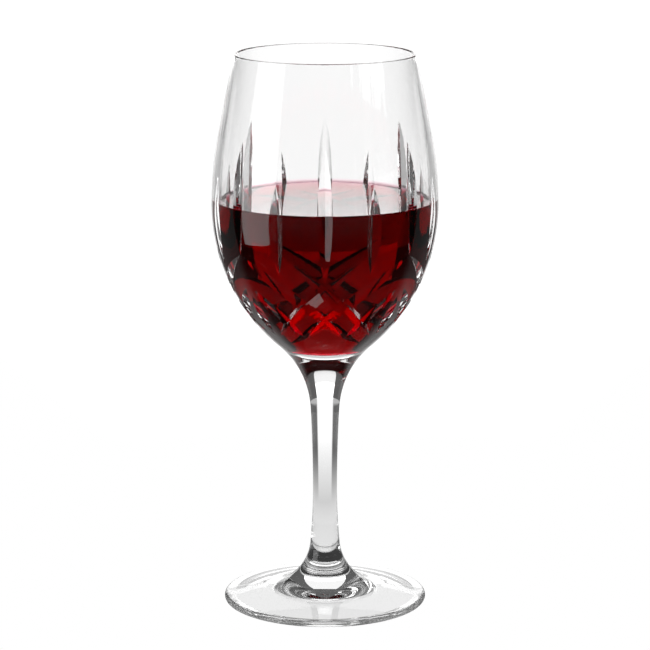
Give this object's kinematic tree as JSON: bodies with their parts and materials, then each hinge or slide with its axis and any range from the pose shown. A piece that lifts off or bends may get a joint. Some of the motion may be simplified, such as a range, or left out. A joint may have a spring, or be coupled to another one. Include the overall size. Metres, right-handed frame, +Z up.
{
  "type": "glass of red wine",
  "caption": "Stemmed cut-crystal wine glass with a lattice-cut bowl, holding red wine to just above the bowl's widest part.",
  "frame": {"origin": "middle of the foot's underside, on the table", "axes": "+Z up the stem, -Y towards the front of the glass, where a long upright cut is"},
  "size_m": [0.0892, 0.0892, 0.22],
  "materials": {
    "crystal": "polished, with clear V cuts on the outside of the bowl",
    "wine": "clear dark red liquid"
  },
  "bodies": {
    "root": {"glass": "crystal", "wine": "wine"}
  },
  "joints": []
}
